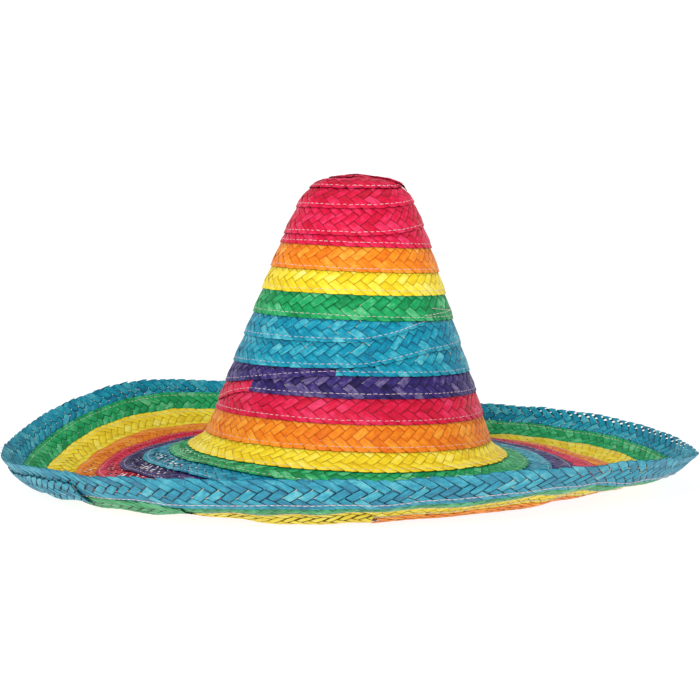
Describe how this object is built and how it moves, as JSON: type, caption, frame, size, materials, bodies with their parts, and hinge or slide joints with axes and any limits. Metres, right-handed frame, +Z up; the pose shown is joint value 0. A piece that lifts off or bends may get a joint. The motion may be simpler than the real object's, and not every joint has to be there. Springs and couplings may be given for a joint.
{
  "type": "sombrero",
  "caption": "Wide-brimmed sombrero with a tall tapering crown and an upturned rim, sewn in a spiral from bands of dyed plaited straw.",
  "frame": {"origin": "centre of the overall box at its lowest level, the surface that the brim rests on, under the middle of the crown", "axes": "+Z up through the crown's tip, -Y towards the front, +X to the right seen from the front"},
  "size_m": [0.4921, 0.4801, 0.2198],
  "materials": {
    "crimson_straw": "satin plaited palm straw, dyed crimson",
    "orange_straw": "satin plaited palm straw, dyed orange",
    "yellow_straw": "satin plaited palm straw, dyed yellow",
    "green_straw": "satin plaited palm straw, dyed green",
    "turquoise_straw": "satin plaited palm straw, dyed turquoise",
    "purple_straw": "satin plaited palm straw, dyed purple",
    "sewing_thread": "matt off-white sewing thread"
  },
  "bodies": {
    "root": {"crimson_tip_braid": "crimson_straw", "orange_crown_braid": "orange_straw", "yellow_crown_braid": "yellow_straw", "green_crown_braid": "green_straw", "turquoise_crown_braid": "turquoise_straw", "purple_crown_braid": "purple_straw", "crimson_base_braid": "crimson_straw", "orange_base_braid": "orange_straw", "yellow_inner_brim_braid": "yellow_straw", "green_inner_brim_braid": "green_straw", "turquoise_inner_brim_braid": "turquoise_straw", "purple_brim_braid": "purple_straw", "crimson_brim_braid": "crimson_straw", "orange_brim_braid": "orange_straw", "yellow_outer_brim_braid": "yellow_straw", "green_outer_brim_braid": "green_straw", "turquoise_rim_braid": "turquoise_straw", "tip_patch": "crimson_straw", "crown_seam_thread": "sewing_thread", "brim_seam_thread": "sewing_thread"}
  },
  "joints": []
}
